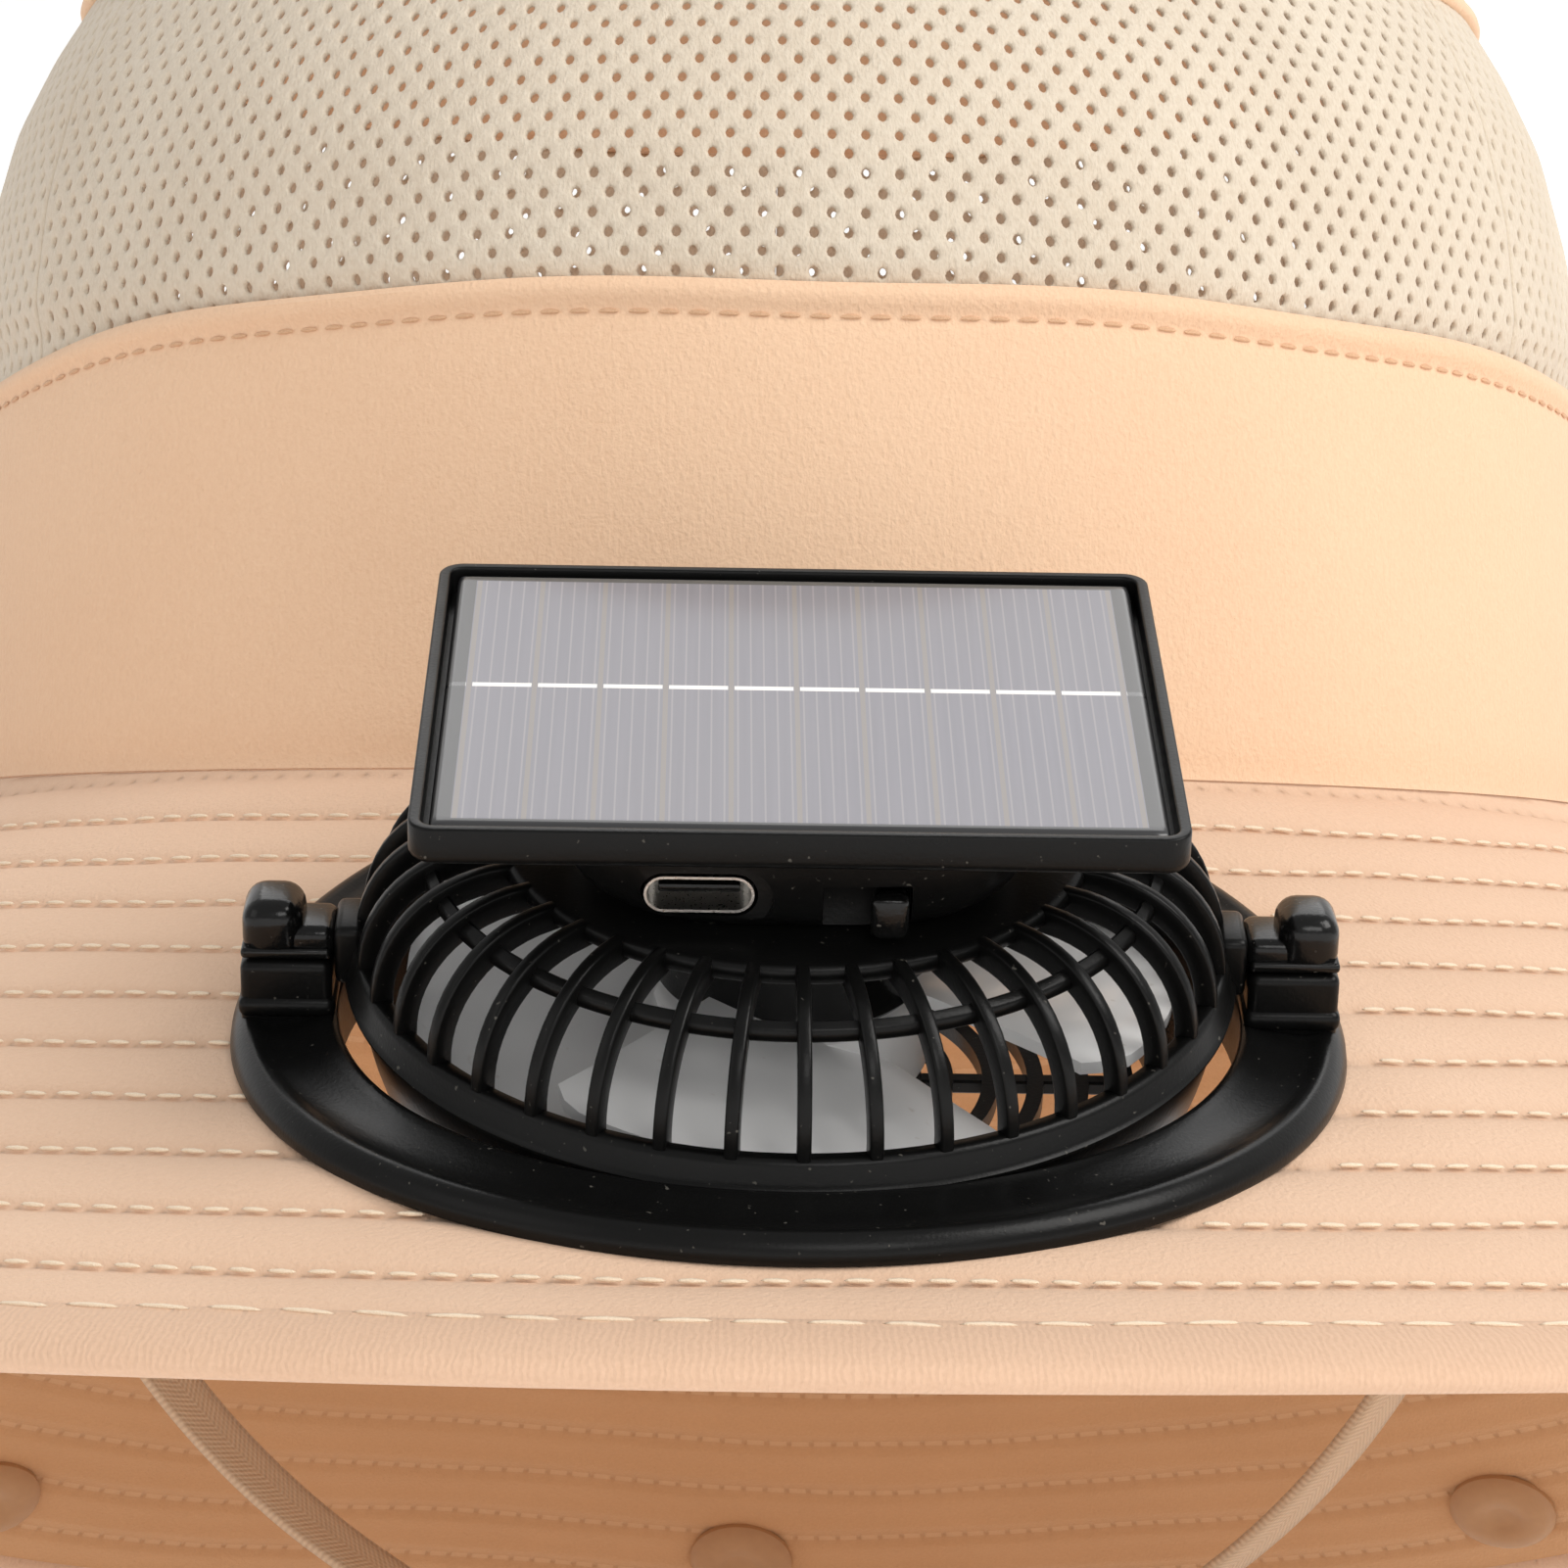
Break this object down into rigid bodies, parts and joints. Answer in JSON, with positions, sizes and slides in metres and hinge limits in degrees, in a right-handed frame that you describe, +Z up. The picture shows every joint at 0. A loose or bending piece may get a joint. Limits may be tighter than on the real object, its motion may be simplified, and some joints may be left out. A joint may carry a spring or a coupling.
{
  "type": "solar fan hat",
  "caption": "Wide-brimmed cloth sun hat with a net crown, a tilting caged fan with a solar panel on its front brim, and a chin strap.",
  "frame": {"origin": "centre of the head opening, in the plane of the seam between crown and brim", "axes": "+Z up through the crown, -Y out over the front of the brim where the fan is, +X to the right of someone who faces the hat's front"},
  "size_m": [0.389, 0.3772, 0.2191],
  "materials": {
    "peach_cloth": "brushed matte cloth, quilted with rows of stitching",
    "cream_net": "knitted net",
    "tan_snap": "satin",
    "beige_strap": "woven ribbon",
    "black_plastic": "satin moulded",
    "pearl_plastic": "pearl grey, softly glossy",
    "socket_steel": "drawn shell",
    "solar_cells": "cells under clear resin"
  },
  "bodies": {
    "hat": {"crown_band": "peach_cloth", "crown_net": "cream_net", "crown_top": "peach_cloth", "brim": "peach_cloth", "snap_button_1": "tan_snap", "snap_button_2": "tan_snap", "snap_button_3": "tan_snap", "chin_strap": "beige_strap", "fan_flange": "black_plastic", "pivot_cap_left": "black_plastic", "pivot_cap_right": "black_plastic", "clamp_ring": "black_plastic"},
    "fan": {"fan_cover": "black_plastic", "fan_bowl": "black_plastic", "motor": "black_plastic", "battery_pod": "black_plastic", "charging_port": "socket_steel", "solar_tray": "black_plastic", "solar_panel": "solar_cells"},
    "impeller": {"impeller": "pearl_plastic"},
    "switch": {"switch_knob": "black_plastic"}
  },
  "joints": [
    {"name": "fan_tilt", "type": "hinge", "parent": "hat", "child": "fan", "pos_m": [0, -0.13769, -0.01712], "axis": [1, 0, 0], "range_deg": [-25, 20]},
    {"name": "impeller_spin", "type": "hinge", "parent": "fan", "child": "impeller", "pos_m": [0, -0.13769, -0.01712], "axis": [0, -0.4833, 0.8755], "continuous": true},
    {"name": "switch_slide", "type": "slide", "parent": "fan", "child": "switch", "axis": [-1, 0, 0], "range_m": [0, 0.0034]}
  ]
}
